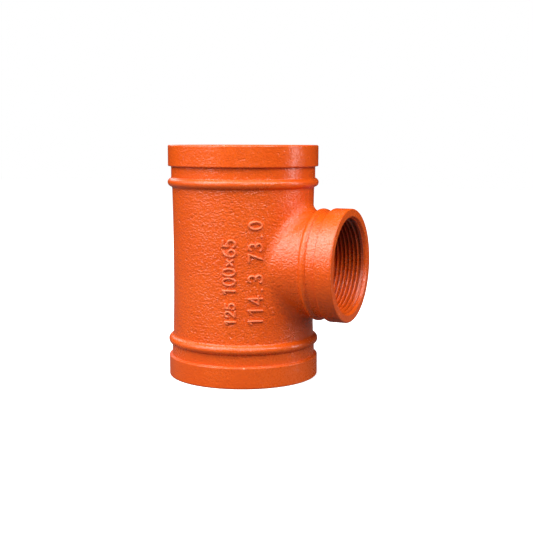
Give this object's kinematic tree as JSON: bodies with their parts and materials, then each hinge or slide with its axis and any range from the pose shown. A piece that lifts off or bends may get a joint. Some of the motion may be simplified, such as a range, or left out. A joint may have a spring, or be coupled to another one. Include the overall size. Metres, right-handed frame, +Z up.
{
  "type": "grooved reducing tee",
  "caption": "Cast iron pipe tee painted orange: a straight run with grooved ends and a smaller side outlet with a female taper thread.",
  "frame": {"origin": "centre of the run's lower end face, on the run's axis; the fitting stands on this face", "axes": "+Z up along the run towards its upper grooved end, +X along the outlet's axis out of its threaded mouth"},
  "size_m": [0.1455, 0.115, 0.176],
  "materials": {
    "orange_paint": "semi-gloss orange paint over as-cast ductile iron"
  },
  "bodies": {
    "root": {"tee_casting": "orange_paint"}
  },
  "joints": []
}
